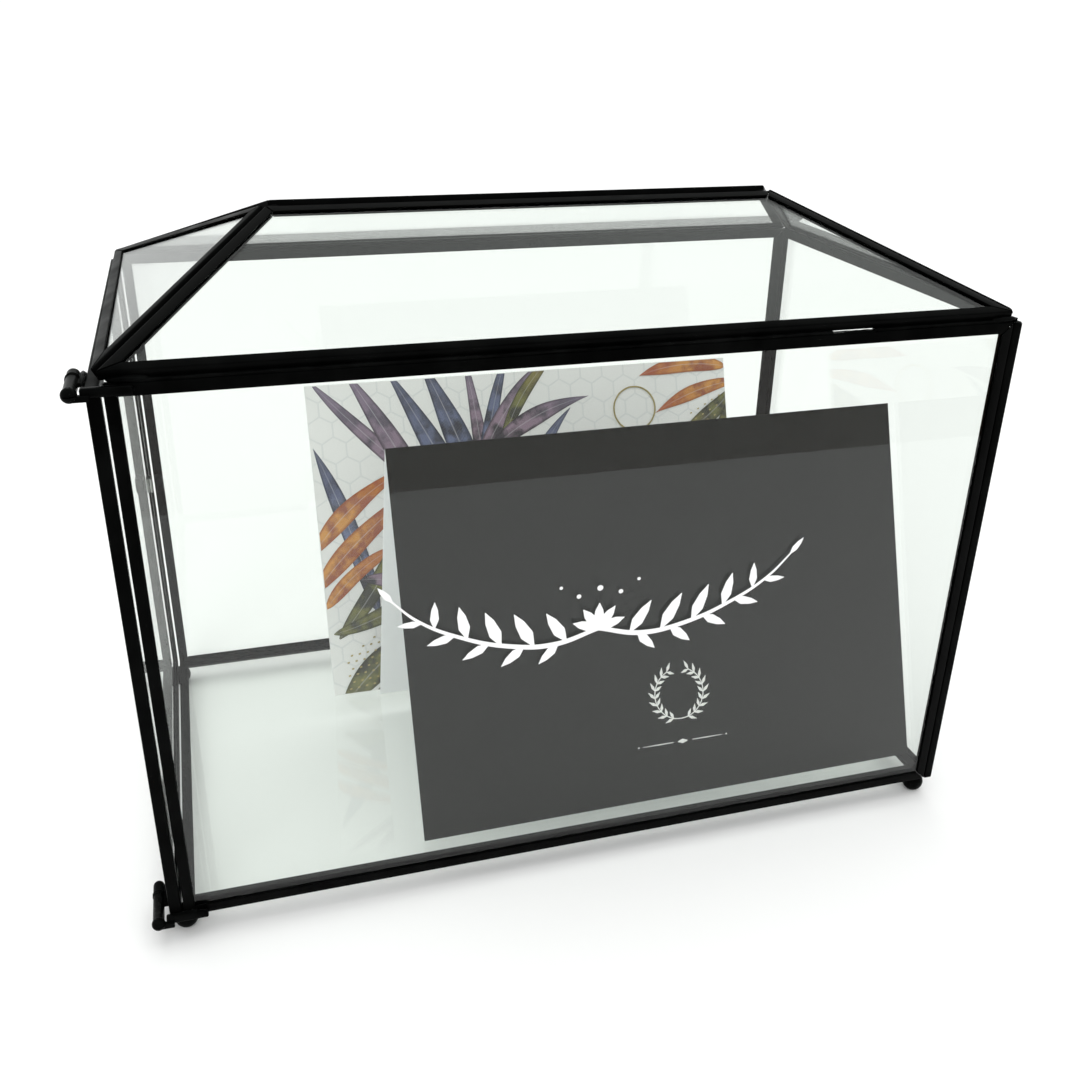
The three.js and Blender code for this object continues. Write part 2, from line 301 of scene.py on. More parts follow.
def packed_copy(node, name):
    """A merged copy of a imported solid, alone, selected and active in edit mode."""
    deselect_all()
    made = bpy.data.objects.new(name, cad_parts[node].data.copy())
    bpy.context.collection.objects.link(made)
    made.select_set(True)
    bpy.context.view_layer.objects.active = made
    bpy.ops.mesh.customdata_custom_splitnormals_clear()
    made.data.materials.clear()
    bpy.ops.object.mode_set(mode="EDIT")
    bpy.ops.mesh.select_mode(type="EDGE")
    bpy.ops.mesh.select_all(action="SELECT")
    bpy.ops.mesh.remove_doubles(threshold=0.002 * mm)
    bpy.ops.mesh.dissolve_limited(angle_limit=math.radians(0.5))
    bpy.ops.mesh.select_all(action="DESELECT")
    return made


def select_edges(piece, wanted):
    """Selects the edges that the test picks and says how many there are."""
    shape = bmesh.from_edit_mesh(piece.data)
    bpy.ops.mesh.select_all(action="DESELECT")
    count = 0
    for edge in shape.edges:
        if wanted(edge):
            edge.select_set(True)
            count += 1
    bmesh.update_edit_mesh(piece.data)
    return count


def is_sharp(edge):
    """True where two faces meet at a clear angle."""
    return len(edge.link_faces) == 2 and edge.calc_face_angle(0) > math.radians(25)


def finish_piece(piece, material, body, slot, *stands_for):
    if bpy.context.object.mode != "OBJECT":
        bpy.ops.object.mode_set(mode="OBJECT")
    deselect_all()
    piece.select_set(True)
    bpy.context.view_layer.objects.active = piece
    bpy.ops.object.shade_smooth_by_angle(angle=math.radians(35))
    if material:
        piece.data.materials.append(material)
    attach(piece, body)
    if stands_for:
        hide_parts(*stands_for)
    return piece


def middle_of(node):
    """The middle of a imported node's box."""
    low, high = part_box(node)
    return (low + high) / 2


fold_radius = 0.38 * mm
lip_radius = 0.10 * mm
long_share = 0.6
strip_words = ("_rail_", "_stile_", "_eave", "_ridge", "_hip_")
strip_nodes = sorted(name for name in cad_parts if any(word in name for word in strip_words))
pane_nodes = sorted(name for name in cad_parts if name.endswith("_glass"))

for node in strip_nodes:
    pane = next(name for name in pane_nodes if node.startswith(name[: -len("glass")]))
    strip = packed_copy(node, node + "_channel")
    shape = bmesh.from_edit_mesh(strip.data)
    longest = max(shape.edges, key=lambda edge: edge.calc_length())
    run = (longest.verts[0].co - longest.verts[1].co).normalized()
    length = longest.calc_length()
    outward = middle_of(node) - middle_of(pane)
    outward -= outward.dot(run) * run
    outward.normalize()
    web = max(shape.faces, key=lambda face: face.calc_center_median().dot(outward))
    web_edges = {edge.index for edge in web.edges if edge.calc_length() > long_share * length}
    select_edges(strip, lambda edge: edge.index in web_edges)
    bpy.ops.mesh.bevel(offset=fold_radius, segments=3, affect="EDGES", clamp_overlap=True)
    select_edges(strip, is_sharp)
    bpy.ops.mesh.bevel(offset=lip_radius, segments=1, affect="EDGES", clamp_overlap=True)
    body = "door" if node.startswith("door_") else "box"
    finish_piece(strip, channel_black, body, "black_metal", node)


# ---- Glass panes ----
# Nine panes of thin clear float glass, faintly green, each held only by the channel round it.
# The sheet is not dead flat, so what it mirrors wavers slightly, and it carries faint wipe marks.

glass_tint = (0.918, 0.940, 0.922, 1)
clear_glass, tree = new_material("clear_glass")
place = add_node(tree, "TexCoord")
waver = add_node(
    tree, "TexNoise", {"Vector": place.outputs["Object"], "Scale": 14.0, "Detail": 1.0}
)
wave = add_node(
    tree, "Bump", {"Height": waver.outputs["Fac"], "Strength": 0.04, "Distance": 1.0 * mm}
)
wipes = add_node(
    tree, "TexNoise", {"Vector": place.outputs["Object"], "Scale": 45.0, "Detail": 5.0}
)
haze = add_node(
    tree,
    "MapRange",
    {
        "Value": wipes.outputs["Fac"],
        "From Min": 0.5,
        "From Max": 0.8,
        "To Min": 0.0,
        "To Max": 0.02,
    },
)
sheet = add_node(
    tree,
    "BsdfPrincipled",
    {
        "Base Color": glass_tint,
        "Metallic": 0.0,
        "Roughness": haze.outputs[0],
        "IOR": 1.40,
        "Transmission Weight": 1.0,
        "Normal": wave.outputs[0],
    },
)
passing = add_node(tree, "BsdfTransparent", {"Color": (0.978, 0.984, 0.978, 1)})
ray = add_node(tree, "LightPath")
straight = add_node(
    tree,
    "Math",
    {0: ray.outputs["Is Shadow Ray"], 1: ray.outputs["Is Diffuse Ray"]},
    operation="MAXIMUM",
)
pane_mix = add_node(
    tree, "MixShader", {0: straight.outputs[0], 1: sheet.outputs[0], 2: passing.outputs[0]}
)
show(tree, pane_mix.outputs[0])

for node in pane_nodes:
    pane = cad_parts[node]
    pane.data.materials.clear()
    pane.data.materials.append(clear_glass)


# ---- Solder along the roof ----
# The roof is one soldered frame that is tacked down on the walls. A low bead of solder runs along
# the front, back and right seams, with thicker lumps at the corners, all sprayed with the rest.

solder_black = black_finish(
    "solder_black",
    deep=(0.0010, 0.0011, 0.0011, 1),
    dusty=(0.0048, 0.0052, 0.0050, 1),
    smoothest=0.16,
    roughest=0.34,
    peel=700.0,
    bump=0.45,
)


def start_block(name, low, high):
    """A block between two corners, in edit mode with everything selected."""
    deselect_all()
    low = Vector(low)
    high = Vector(high)
    bpy.ops.mesh.primitive_cube_add(size=1, location=(low + high) / 2, scale=high - low)
    bpy.ops.object.transform_apply(location=True, rotation=False, scale=True)
    block = bpy.context.object
    block.name = name
    bpy.ops.object.mode_set(mode="EDIT")
    bpy.ops.mesh.select_mode(type="EDGE")
    bpy.ops.mesh.select_all(action="SELECT")
    return block


def run_bead(name, low, high, seed):
    """A bead of solder: a long bar, cut across many times, rounded and made uneven."""
    bead = start_block(name, low, high)
    length = max(high[axis] - low[axis] for axis in range(3))
    select_edges(bead, lambda edge: edge.calc_length() > 0.9 * length)
    bpy.ops.mesh.bevel(offset=0.28 * mm, segments=3, affect="EDGES", clamp_overlap=True)
    select_edges(bead, lambda edge: edge.calc_length() > 0.9 * length)
    bpy.ops.mesh.subdivide(number_cuts=int(length / (1.6 * mm)))
    bpy.ops.mesh.select_all(action="SELECT")
    bpy.ops.transform.vertex_random(offset=0.16 * mm, uniform=0.2, normal=0.8, seed=seed)
    bpy.ops.mesh.vertices_smooth(factor=0.5, repeat=1)
    return finish_piece(bead, solder_black, "box", "black_metal")


def drop_lump(name, middle, reach, seed, body="box"):
    """A lump of solder: a ball pulled to its reach, made uneven and smoothed."""
    deselect_all()
    bpy.ops.mesh.primitive_ico_sphere_add(
        subdivisions=4, radius=1, location=middle, scale=[size * mm for size in reach]
    )
    bpy.ops.object.transform_apply(location=True, rotation=False, scale=True)
    lump = bpy.context.object
    lump.name = name
    bpy.ops.object.mode_set(mode="EDIT")
    bpy.ops.mesh.select_all(action="SELECT")
    bpy.ops.transform.vertex_random(offset=0.55 * mm, uniform=0.0, normal=1.0, seed=seed)
    bpy.ops.mesh.vertices_smooth(factor=0.6, repeat=6)
    return finish_piece(lump, solder_black, body, "black_metal")


seam_rise = 0.85 * mm
seam_sink = 0.10 * mm
seam_back_off = 0.55 * mm
seam_end = 1.5 * mm
slit_left = 70.5 * mm
slit_right = 83.5 * mm
front_low, front_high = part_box("front_rail_top")
back_low, back_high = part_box("back_rail_top")
right_low, right_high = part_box("right_rail_top")
seam_z = (front_high.z - seam_sink, front_high.z + seam_rise)

seam_outside = 0.2 * mm
thin_rise = 0.45 * mm
slit_lap = 1.0 * mm
bead_front_y = (front_low.y + seam_back_off, front_high.y - seam_outside)
bead_back_y = (back_low.y + seam_outside, back_high.y - seam_back_off)
thin_z = (seam_z[0], seam_z[0] + thin_rise)
# Each bead: name, its reach in x, y and z, and its seed
beads = (
    ("front_left", (front_low.x + seam_end, slit_left), bead_front_y, seam_z, 3),
    ("front_right", (slit_right, front_high.x - seam_end), bead_front_y, seam_z, 4),
    ("front_thin", (slit_left - slit_lap, slit_right + slit_lap), bead_front_y, thin_z, 7),
    ("back", (back_low.x + seam_end, back_high.x - seam_end), bead_back_y, seam_z, 5),
    (
        "right",
        (right_low.x + seam_outside, right_high.x - seam_back_off),
        (right_low.y + seam_end, right_high.y - seam_end),
        seam_z,
        6,
    ),
)
for name, reach_x, reach_y, reach_z, seed in beads:
    low, high = (Vector(corner) for corner in zip(reach_x, reach_y, reach_z))
    run_bead("seam_solder_" + name, low, high, seed)

corner_in = 2.6 * mm
tack_x = 2.6 * mm
lump_z = front_high.z + 0.75 * mm
rear_y = back_high.y - 1.4 * mm
left_x = front_low.x + 5.5 * mm
right_x = front_high.x - corner_in
# Each lump: name, middle, half sizes in mm and its seed
lumps = (
    ("corner_solder_front_left", (left_x, front_low.y + 1.3 * mm), (5.2, 1.15, 1.0), 11),
    ("corner_solder_front_right", (right_x, front_low.y + 1.4 * mm), (4.2, 1.2, 0.95), 12),
    ("corner_solder_back_right", (right_x, rear_y), (3.6, 1.2, 0.9), 13),
    ("corner_solder_back_left", (back_low.x + corner_in, rear_y), (3.6, 1.2, 0.9), 14),
    ("tack_solder_back", (tack_x, back_high.y - 1.5 * mm), (3.2, 1.15, 0.9), 15),
)
for name, (x, y), reach, seed in lumps:
    drop_lump(name, (x, y, lump_z), reach, seed)
ridge_low, ridge_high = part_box("roof_back_ridge")
for side, x in (("left", ridge_low.x + 1.5 * mm), ("right", ridge_high.x - 1.5 * mm)):
    drop_lump(
        "ridge_solder_" + side,
        (x, ridge_low.y + 0.4 * mm, ridge_high.z - 2.3 * mm),
        (2.2, 1.9, 1.1),
        seed=20 + len(side),
    )


# ---- Hinges ----
# Each hinge is a ball knuckle split level on an upright pin. The lower half is soldered by a strap
# to the front face of the box. The upper half ends a round bar that a web joins to the door.

hinge_black = black_finish(
    "hinge_black",
    deep=(0.0008, 0.0009, 0.0009, 1),
    dusty=(0.0036, 0.0039, 0.0038, 1),
    smoothest=0.20,
    roughest=0.36,
    peel=1100.0,
    bump=0.30,
)
knuckle_radius = 1.95 * mm
knuckle_gap = 0.30 * mm
knuckle_clearance = 0.30 * mm
bar_radius = 1.65 * mm
bar_length = 18.0 * mm
strap_thick = 2.2 * mm
strap_high = 2.4 * mm
strap_length = 12.0 * mm
tongue_half = 0.9 * mm
tongue_drop = 1.75 * mm
pin_radius = 0.55 * mm
hole_radius = 0.65 * mm
web_half = 0.60 * mm
web_length = 9.0 * mm
ring_places = (11.6 * mm, 12.6 * mm)
cut_tolerance = 1e-8


def start_ball(name, middle, radius):
    """A ball of even rings, in object mode."""
    deselect_all()
    bpy.ops.mesh.primitive_uv_sphere_add(
        segments=48, ring_count=24, radius=radius, location=middle
    )
    bpy.ops.object.transform_apply(location=True)
    ball = bpy.context.object
    ball.name = name
    return ball


def start_half_ball(name, middle, radius, cut_z, keep_above):
    """A ball cut level and closed, keeping the part above or below the cut."""
    ball = start_ball(name, middle, radius)
    bpy.ops.object.mode_set(mode="EDIT")
    bpy.ops.mesh.select_all(action="SELECT")
    away = (0, 0, -1) if keep_above else (0, 0, 1)
    bpy.ops.mesh.bisect(
        plane_co=(middle[0], middle[1], cut_z),
        plane_no=away,
        use_fill=True,
        clear_outer=True,
        threshold=cut_tolerance,
    )
    bpy.ops.object.mode_set(mode="OBJECT")
    return ball


def start_rod(name, start, finish, radius, sides=40):
    """A round rod between two points, in object mode."""
    deselect_all()
    start = Vector(start)
    finish = Vector(finish)
    turn = (finish - start).to_track_quat("Z", "Y").to_euler()
    bpy.ops.mesh.primitive_cylinder_add(
        vertices=sides,
        radius=radius,
        depth=(finish - start).length,
        location=(start + finish) / 2,
        rotation=turn,
    )
    bpy.ops.object.transform_apply(location=True, rotation=True)
    rod = bpy.context.object
    rod.name = name
    return rod


def round_edges(piece, width, segments):
    """Rounds every sharp edge of a piece and leaves it in object mode."""
    deselect_all()
    piece.select_set(True)
    bpy.context.view_layer.objects.active = piece
    bpy.ops.object.mode_set(mode="EDIT")
    bpy.ops.mesh.select_mode(type="EDGE")
    select_edges(piece, is_sharp)
    bpy.ops.mesh.bevel(offset=width, segments=segments, affect="EDGES", clamp_overlap=True)
    bpy.ops.object.mode_set(mode="OBJECT")


def join_solid(piece, tool, how):
    """Unites a solid with another, or cuts it with it. The other is used up."""
    deselect_all()
    piece.select_set(True)
    bpy.context.view_layer.objects.active = piece
    cut = piece.modifiers.new("join", "BOOLEAN")
    cut.operation = how
    cut.solver = "EXACT"
    cut.object = tool
    bpy.ops.object.modifier_apply(modifier="join")
    bpy.data.objects.remove(tool)
    return piece


def copy_piece(piece, name, shift, body, slot, *stands_for):
    """A copy of a finished piece with its own mesh, moved by a shift."""
    twin = bpy.data.objects.new(name, piece.data.copy())
    bpy.context.collection.objects.link(twin)
    twin.data.transform(Matrix.Translation(shift))
    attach(twin, body)
    if stands_for:
        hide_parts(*stands_for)
    return twin


# The hinge is modelled once, at the top, and copied to the bottom
hinge = "hinge_top"
pin_low, pin_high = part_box(hinge + "_pin")
pivot = (pin_low + pin_high) / 2
front_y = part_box("front_rail_top")[0].y
strap_left = pivot.x + knuckle_radius + knuckle_clearance
strap_back = front_y - 0.02 * mm
far = 4 * knuckle_radius

# Lower half: half a ball, a tongue and the strap along the rail
half = start_half_ball(
    hinge + "_strap", pivot, knuckle_radius, pivot.z - knuckle_gap / 2, False
)
tongue = start_block(
    "tongue",
    (pivot.x, pivot.y - tongue_half, pivot.z - tongue_drop),
    (
        strap_left + strap_thick,
        pivot.y + tongue_half,
        pivot.z - knuckle_gap / 2 - 0.03 * mm,
    ),
)
bpy.ops.object.mode_set(mode="OBJECT")
round_edges(tongue, 0.25 * mm, 2)
join_solid(half, tongue, "UNION")
strap = start_block(
    "strap",
    (strap_left, strap_back - strap_thick, pivot.z - strap_high / 2),
    (strap_left + strap_length, strap_back, pivot.z + strap_high / 2),
)
bpy.ops.object.mode_set(mode="OBJECT")
round_edges(strap, 0.55 * mm, 3)
join_solid(half, strap, "UNION")
hole = start_rod(
    "hole", pivot - Vector((0, 0, far)), pivot + Vector((0, 0, far)), hole_radius, 24
)
join_solid(half, hole, "DIFFERENCE")
finish_piece(half, hinge_black, "box", "black_metal", hinge + "_bracket")

# Upper half: the round bar with its rings, cut clear of the lower half, and the web
bar_end = pivot + Vector((0, bar_length - bar_radius, 0))
bar = start_rod(hinge + "_bar", pivot, bar_end, bar_radius, 48)
join_solid(bar, start_ball("cap", bar_end, bar_radius * 0.999), "UNION")
for place in ring_places:
    deselect_all()
    bpy.ops.mesh.primitive_torus_add(
        major_radius=bar_radius,
        minor_radius=0.20 * mm,
        major_segments=48,
        minor_segments=10,
        location=pivot + Vector((0, place, 0)),
        rotation=(math.pi / 2, 0, 0),
    )
    bpy.ops.object.transform_apply(location=True, rotation=True)
    join_solid(bar, bpy.context.object, "UNION")
clear = start_rod(
    "clear",
    pivot - Vector((0, 0, far)),
    pivot + Vector((0, 0, knuckle_gap / 2 + 0.04 * mm)),
    knuckle_radius + knuckle_clearance,
    50,
)
join_solid(bar, clear, "DIFFERENCE")
upper = start_half_ball("upper", pivot, knuckle_radius, pivot.z + knuckle_gap / 2, True)
join_solid(bar, upper, "UNION")
door_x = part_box("door_stile_front")[0].x
web = start_block(
    "web",
    (pivot.x, bar_end.y - web_length, pivot.z - web_half),
    (door_x - 0.05 * mm, bar_end.y, pivot.z + web_half),
)
bpy.ops.object.mode_set(mode="OBJECT")
round_edges(web, 0.2 * mm, 2)
join_solid(bar, web, "UNION")
hole = start_rod(
    "hole", pivot - Vector((0, 0, far)), pivot + Vector((0, 0, far)), hole_radius, 24
)
join_solid(bar, hole, "DIFFERENCE")
finish_piece(bar, hinge_black, "door", "black_metal", hinge + "_arm")

# The pin: a short rod with domed ends, just inside the knuckle
pin_half = knuckle_radius - 0.10 * mm
pin = start_rod(
    hinge + "_rod",
    pivot - Vector((0, 0, pin_half)),
    pivot + Vector((0, 0, pin_half)),
    pin_radius,
    24,
)
round_edges(pin, 0.18 * mm, 3)
finish_piece(pin, hinge_black, "box", "black_metal", hinge + "_pin")

# Solder that holds the strap to the box and the web to the door
strap_solder = drop_lump(
    hinge + "_strap_solder",
    (strap_left + 0.55 * strap_length, strap_back - 0.4 * mm, pivot.z - 0.2 * mm),
    (6.0, 0.9, 1.55),
    seed=31,
)
web_solder = drop_lump(
    hinge + "_web_solder",
    (door_x - 0.7 * mm, bar_end.y - web_length / 2, pivot.z + 0.2 * mm),
    (0.9, 5.4, 1.3),
    seed=32,
    body="door",
)

low_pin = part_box("hinge_bottom_pin")
drop = (low_pin[0] + low_pin[1]) / 2 - pivot
for piece, body, ending in (
    (half, "box", "_bracket"),
    (bar, "door", "_arm"),
    (pin, "box", "_pin"),
    (strap_solder, "box", None),
    (web_solder, "door", None),
):
    stands_for = ["hinge_bottom" + ending] if ending else []
    twin_name = piece.name.replace("hinge_top", "hinge_bottom")
    copy_piece(piece, twin_name, drop, body, "black_metal", *stands_for)


# ---- Feet ----
# Four cast balls under the corners, each with a small flat to stand on, soldered up to the
# bottom strips with a collar of solder.

collar_high = 0.55 * mm
foot_nodes = [name for name in sorted(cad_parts) if name.startswith("foot_")]
pad_radius = 1.2 * mm
neck_flare = 1.35
neck_high = 0.30 * mm
first_node = foot_nodes[0]
low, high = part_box(first_node)
foot_radius = (high.x - low.x) / 2
middle = Vector(((low.x + high.x) / 2, (low.y + high.y) / 2, 0))
middle.z = math.sqrt(foot_radius**2 - pad_radius**2)
foot = start_ball(first_node.replace("foot_", "ball_foot_"), middle, foot_radius)
bpy.ops.object.mode_set(mode="EDIT")
for cut_z, way in ((0, -1), (high.z - 0.05 * mm, 1)):
    bpy.ops.mesh.select_all(action="SELECT")
    bpy.ops.mesh.bisect(
        plane_co=(0, 0, cut_z),
        plane_no=(0, 0, way),
        use_fill=True,
        clear_outer=True,
        threshold=cut_tolerance,
    )
bpy.ops.mesh.select_mode(type="FACE")
shape = bmesh.from_edit_mesh(foot.data)
for face in shape.faces:
    face.select_set(face.normal.z > 0.99 and face.calc_center_median().z > middle.z)
bmesh.update_edit_mesh(foot.data)
bpy.ops.mesh.extrude_region_move(TRANSFORM_OT_translate={"value": (0, 0, neck_high)})
bpy.ops.transform.resize(
    value=(neck_flare, neck_flare, 1.0), center_override=(middle.x, middle.y, high.z)
)
finish_piece(foot, hinge_black, "box", "black_metal", first_node)
collar = drop_lump(
    first_node + "_collar",
    (middle.x, middle.y, high.z + 0.10 * mm),
    (2.5, 2.5, collar_high / mm),
    seed=41,
)
for node in foot_nodes[1:]:
    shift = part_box(node)[0] - low
    foot_name = node.replace("foot_", "ball_foot_")
    copy_piece(foot, foot_name, shift, "box", "black_metal", node)
    copy_piece(collar, node + "_collar", shift, "box", "black_metal")


# ---- Catch ----
# A small magnet in a black block is soldered inside the rear post at mid height. The door has
# a thin bright steel plate that it pulls on.

magnet_low, magnet_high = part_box("catch_magnet")
block = start_block("catch_block", magnet_low, magnet_high)
bpy.ops.mesh.bevel(offset=0.45 * mm, segments=3, affect="EDGES", clamp_overlap=True)
bpy.ops.object.mode_set(mode="OBJECT")
magnet_middle = (magnet_low + magnet_high) / 2
seat = start_rod(
    "seat",
    (magnet_low.x - 1 * mm, magnet_middle.y, magnet_middle.z),
    (magnet_low.x + 0.35 * mm, magnet_middle.y, magnet_middle.z),
    1.35 * mm,
    32,
)
join_solid(block, seat, "DIFFERENCE")
finish_piece(block, hinge_black, "box", "black_metal", "catch_magnet")

steel_bright, tree = new_material("steel_bright")
place = add_node(tree, "TexCoord")
stretch = add_node(
    tree, "Mapping", {"Vector": place.outputs["Object"], "Scale": (400.0, 400.0, 6000.0)}
)
lines = add_node(tree, "TexNoise", {"Vector": stretch.outputs[0], "Scale": 1.0, "Detail": 3.0})
tone = mix_colours(tree, lines.outputs["Fac"], (0.30, 0.31, 0.30, 1), (0.50, 0.50, 0.48, 1))
gloss = add_node(
    tree, "MapRange", {"Value": lines.outputs["Fac"], "To Min": 0.22, "To Max": 0.42}
)
steel = add_node(
    tree,
    "BsdfPrincipled",
    {"Base Color": tone.outputs[2], "Roughness": gloss.outputs[0], "Metallic": 1.0},
)
show(tree, steel.outputs[0])

disc = start_rod(
    "catch_disc",
    (magnet_low.x + 0.12 * mm, magnet_middle.y, magnet_middle.z),
    (magnet_low.x + 0.34 * mm, magnet_middle.y, magnet_middle.z),
    1.25 * mm,
    32,
)
round_edges(disc, 0.08 * mm, 2)
finish_piece(disc, steel_bright, "box", "nickel")

plate = start_block("catch_plate", *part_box("catch_striker"))
bpy.ops.mesh.bevel(offset=0.22 * mm, segments=2, affect="EDGES", clamp_overlap=True)
finish_piece(plate, steel_bright, "door", "nickel", "catch_striker")


# ---- White spray on the front glass ----
# Cut from matt white vinyl film and pressed on the outside of the front pane: two leafy stems that
# curve up and outward from a small blossom, the same on both sides. It carries no lettering.

# Fine grain in the tone of film, ink and foil
fine_grain, start, end = new_group(
    "fine_grain",
    {"Dark": "Color", "Light": "Color", "Scale": "Float"},
    {"Color": "Color", "Height": "Float"},
)
tree = fine_grain
place = add_node(tree, "TexCoord")
grain = add_node(
    tree, "TexNoise", {"Vector": place.outputs["Object"], "Scale": start.outputs["Scale"]}
)
tone = mix_colours(tree, grain.outputs["Fac"], start.outputs["Dark"], start.outputs["Light"])
tree.links.new(tone.outputs[2], end.inputs["Color"])
tree.links.new(grain.outputs["Fac"], end.inputs["Height"])

vinyl_white, tree = new_material("vinyl_white")
grain = place_group(
    tree,
    fine_grain,
    {"Dark": (0.90, 0.90, 0.90, 1), "Light": (0.96, 0.96, 0.96, 1), "Scale": 800.0},
)
lift = add_node(
    tree, "Bump", {"Height": grain.outputs["Height"], "Strength": 0.1, "Distance": 0.02 * mm}
)
film = add_node(
    tree,
    "BsdfPrincipled",
    {"Base Color": grain.outputs["Color"], "Roughness": 0.45, "Normal": lift.outputs[0]},
)
show(tree, film.outputs[0])


def sheet_place(origin, along, up):
    """The matrix that lays a flat drawing on a sheet, its own Z standing off the sheet."""
    normal = along.cross(up)
    return Matrix.Translation(origin) @ Matrix((along, up, normal)).transposed().to_4x4()


def draw_lines(name, lines, sheet, flat, off):
    """Pen lines on a sheet, as one flat mesh. A line is points of across, up and half width in mm."""
    drawing = bpy.data.curves.new(name, "CURVE")
    drawing.dimensions = "3D"
    drawing.bevel_depth = 1.0
    drawing.bevel_resolution = 2
    drawing.resolution_u = 10
    drawing.use_fill_caps = True
    for line in lines:
        closed = line[0][:2] == line[-1][:2]
        points = line[:-1] if closed else line
        spline = drawing.splines.new("BEZIER")
        spline.bezier_points.add(len(points) - 1)
        spline.use_cyclic_u = closed
        for knot, (across, up, half) in zip(spline.bezier_points, points):
            knot.co = (across * mm, up * mm, 0)
            knot.radius = half * mm
            knot.handle_left_type = "AUTO"
            knot.handle_right_type = "AUTO"
    made = bpy.data.objects.new(name, drawing)
    bpy.context.collection.objects.link(made)
    deselect_all()
    made.select_set(True)
    bpy.context.view_layer.objects.active = made
    bpy.ops.object.convert(target="MESH")
    made = bpy.context.object
    bpy.ops.object.mode_set(mode="EDIT")
    bpy.ops.mesh.select_all(action="SELECT")
    bpy.ops.mesh.remove_doubles(threshold=0.0005 * mm)
    bpy.ops.mesh.normals_make_consistent(inside=False)
    bpy.ops.object.mode_set(mode="OBJECT")
    made.data.transform(Matrix.Diagonal((1, 1, flat, 1)))
    made.data.transform(Matrix.Translation((0, 0, off)))
    made.data.transform(sheet)
    return made


glass_low, glass_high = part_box("front_glass")
front_sheet = sheet_place(
    Vector(((glass_low.x + glass_high.x) / 2, glass_low.y, glass_low.z)),
    Vector((1, 0, 0)),
    Vector((0, 0, 1)),
)
spray_middle = 1.0
spray_foot = 79.0
half_stem = [
    (0.0, 0.9, 0.70),
    (14.0, -2.6, 0.85),
    (28.0, -1.0, 0.75),
    (42.0, 4.0, 0.60),
    (54.0, 11.0, 0.45),
    (62.0, 19.0, 0.25),
]
# Each leaf: across and up from the middle, its direction in degrees, length and half width
half_leaves = [
    (10.0, -2.0, 58, 12.0, 1.9),
    (12.5, -2.5, -46, 8.5, 1.5),
    (20.0, -2.2, 62, 13.0, 2.0),
    (23.0, -1.9, -40, 9.0, 1.6),
    (30.0, -0.5, 68, 12.5, 1.9),
    (33.5, 0.6, -28, 9.0, 1.5),
    (40.0, 3.2, 78, 11.0, 1.7),
    (43.5, 4.8, -14, 8.5, 1.4),
    (49.5, 8.0, 92, 8.5, 1.3),
    (53.0, 10.2, 0, 7.0, 1.1),
    (61.0, 18.0, 52, 6.5, 1.0),
]


def leaf_line(across, up, turn, length, half):
    """One leaf as a pen line that swells and runs out to a point."""
    heading = (math.cos(math.radians(turn)), math.sin(math.radians(turn)))
    shares = ((0.0, 0.15), (0.35, 1.0), (0.7, 0.75), (1.0, 0.06))
    return [
        (across + heading[0] * length * share, up + heading[1] * length * share, half * swell)
        for share, swell in shares
    ]




def bead_at(across, up, half):
    """A dot: a very short line that swells to a round."""
    shares = ((-1.0, 0.05), (-0.7, 0.71), (0.0, 1.0), (0.7, 0.71), (1.0, 0.05))
    return [(across + share * half, up, swell * half) for share, swell in shares]


half_lines = [half_stem] + [leaf_line(*leaf) for leaf in half_leaves]
half_lines += [bead_at(6.5, 12.5, 0.75), bead_at(12.0, 16.0, 0.55)]
petal_turns = (18, 54, 90, 126, 162)
petals = [leaf_line(0.0, 1.0, turn, 8.5, 1.7) for turn in petal_turns]
petals.append(bead_at(0.0, 14.5, 0.95))
drawn = petals + half_lines
drawn += [[(-across, up, half) for across, up, half in one] for one in half_lines]
body_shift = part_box("front_rail_bottom")[0].z / mm
spray_lines = [
    [
        (across + spray_middle, up + spray_foot + body_shift - glass_low.z / mm, half)
        for across, up, half in one
    ]
    for one in drawn
]
spray = draw_lines("vinyl_spray", spray_lines, front_sheet, flat=0.02, off=0.055 * mm)
finish_piece(spray, vinyl_white, "box", "sign_card")


# ---- Sign card ----
# A sheet of heavy card, printed charcoal all over one side and left pale on the other, folded
# once and stood as a tent. A small white ornament is printed low on the front leaf.

sign_charcoal, tree = new_material("sign_charcoal")
place = add_node(tree, "TexCoord")
toner = add_node(
    tree, "TexNoise", {"Vector": place.outputs["Object"], "Scale": 1600.0, "Detail": 3.0}
)
bands = add_node(
    tree, "Mapping", {"Vector": place.outputs["Object"], "Scale": (55.0, 10.0, 10.0)}
)
streak = add_node(tree, "TexNoise", {"Vector": bands.outputs[0], "Scale": 1.0, "Detail": 2.0})
blend = add_node(
    tree, "Math", {0: toner.outputs["Fac"], 1: streak.outputs["Fac"]}, operation="MULTIPLY"
)
tone = mix_colours(tree, blend.outputs[0], (0.0030, 0.0036, 0.0026, 1), (0.0075, 0.0090, 0.0064, 1))
gloss = add_node(
    tree, "MapRange", {"Value": streak.outputs["Fac"], "To Min": 0.54, "To Max": 0.64}
)
lift = add_node(
    tree, "Bump", {"Height": toner.outputs["Fac"], "Strength": 0.015, "Distance": 0.02 * mm}
)
satin = add_node(
    tree,
    "BsdfPrincipled",
    {"Base Color": tone.outputs[2], "Roughness": gloss.outputs[0], "Normal": lift.outputs[0]},
)
satin.inputs["Specular IOR Level"].default_value = 0.10
show(tree, satin.outputs[0])

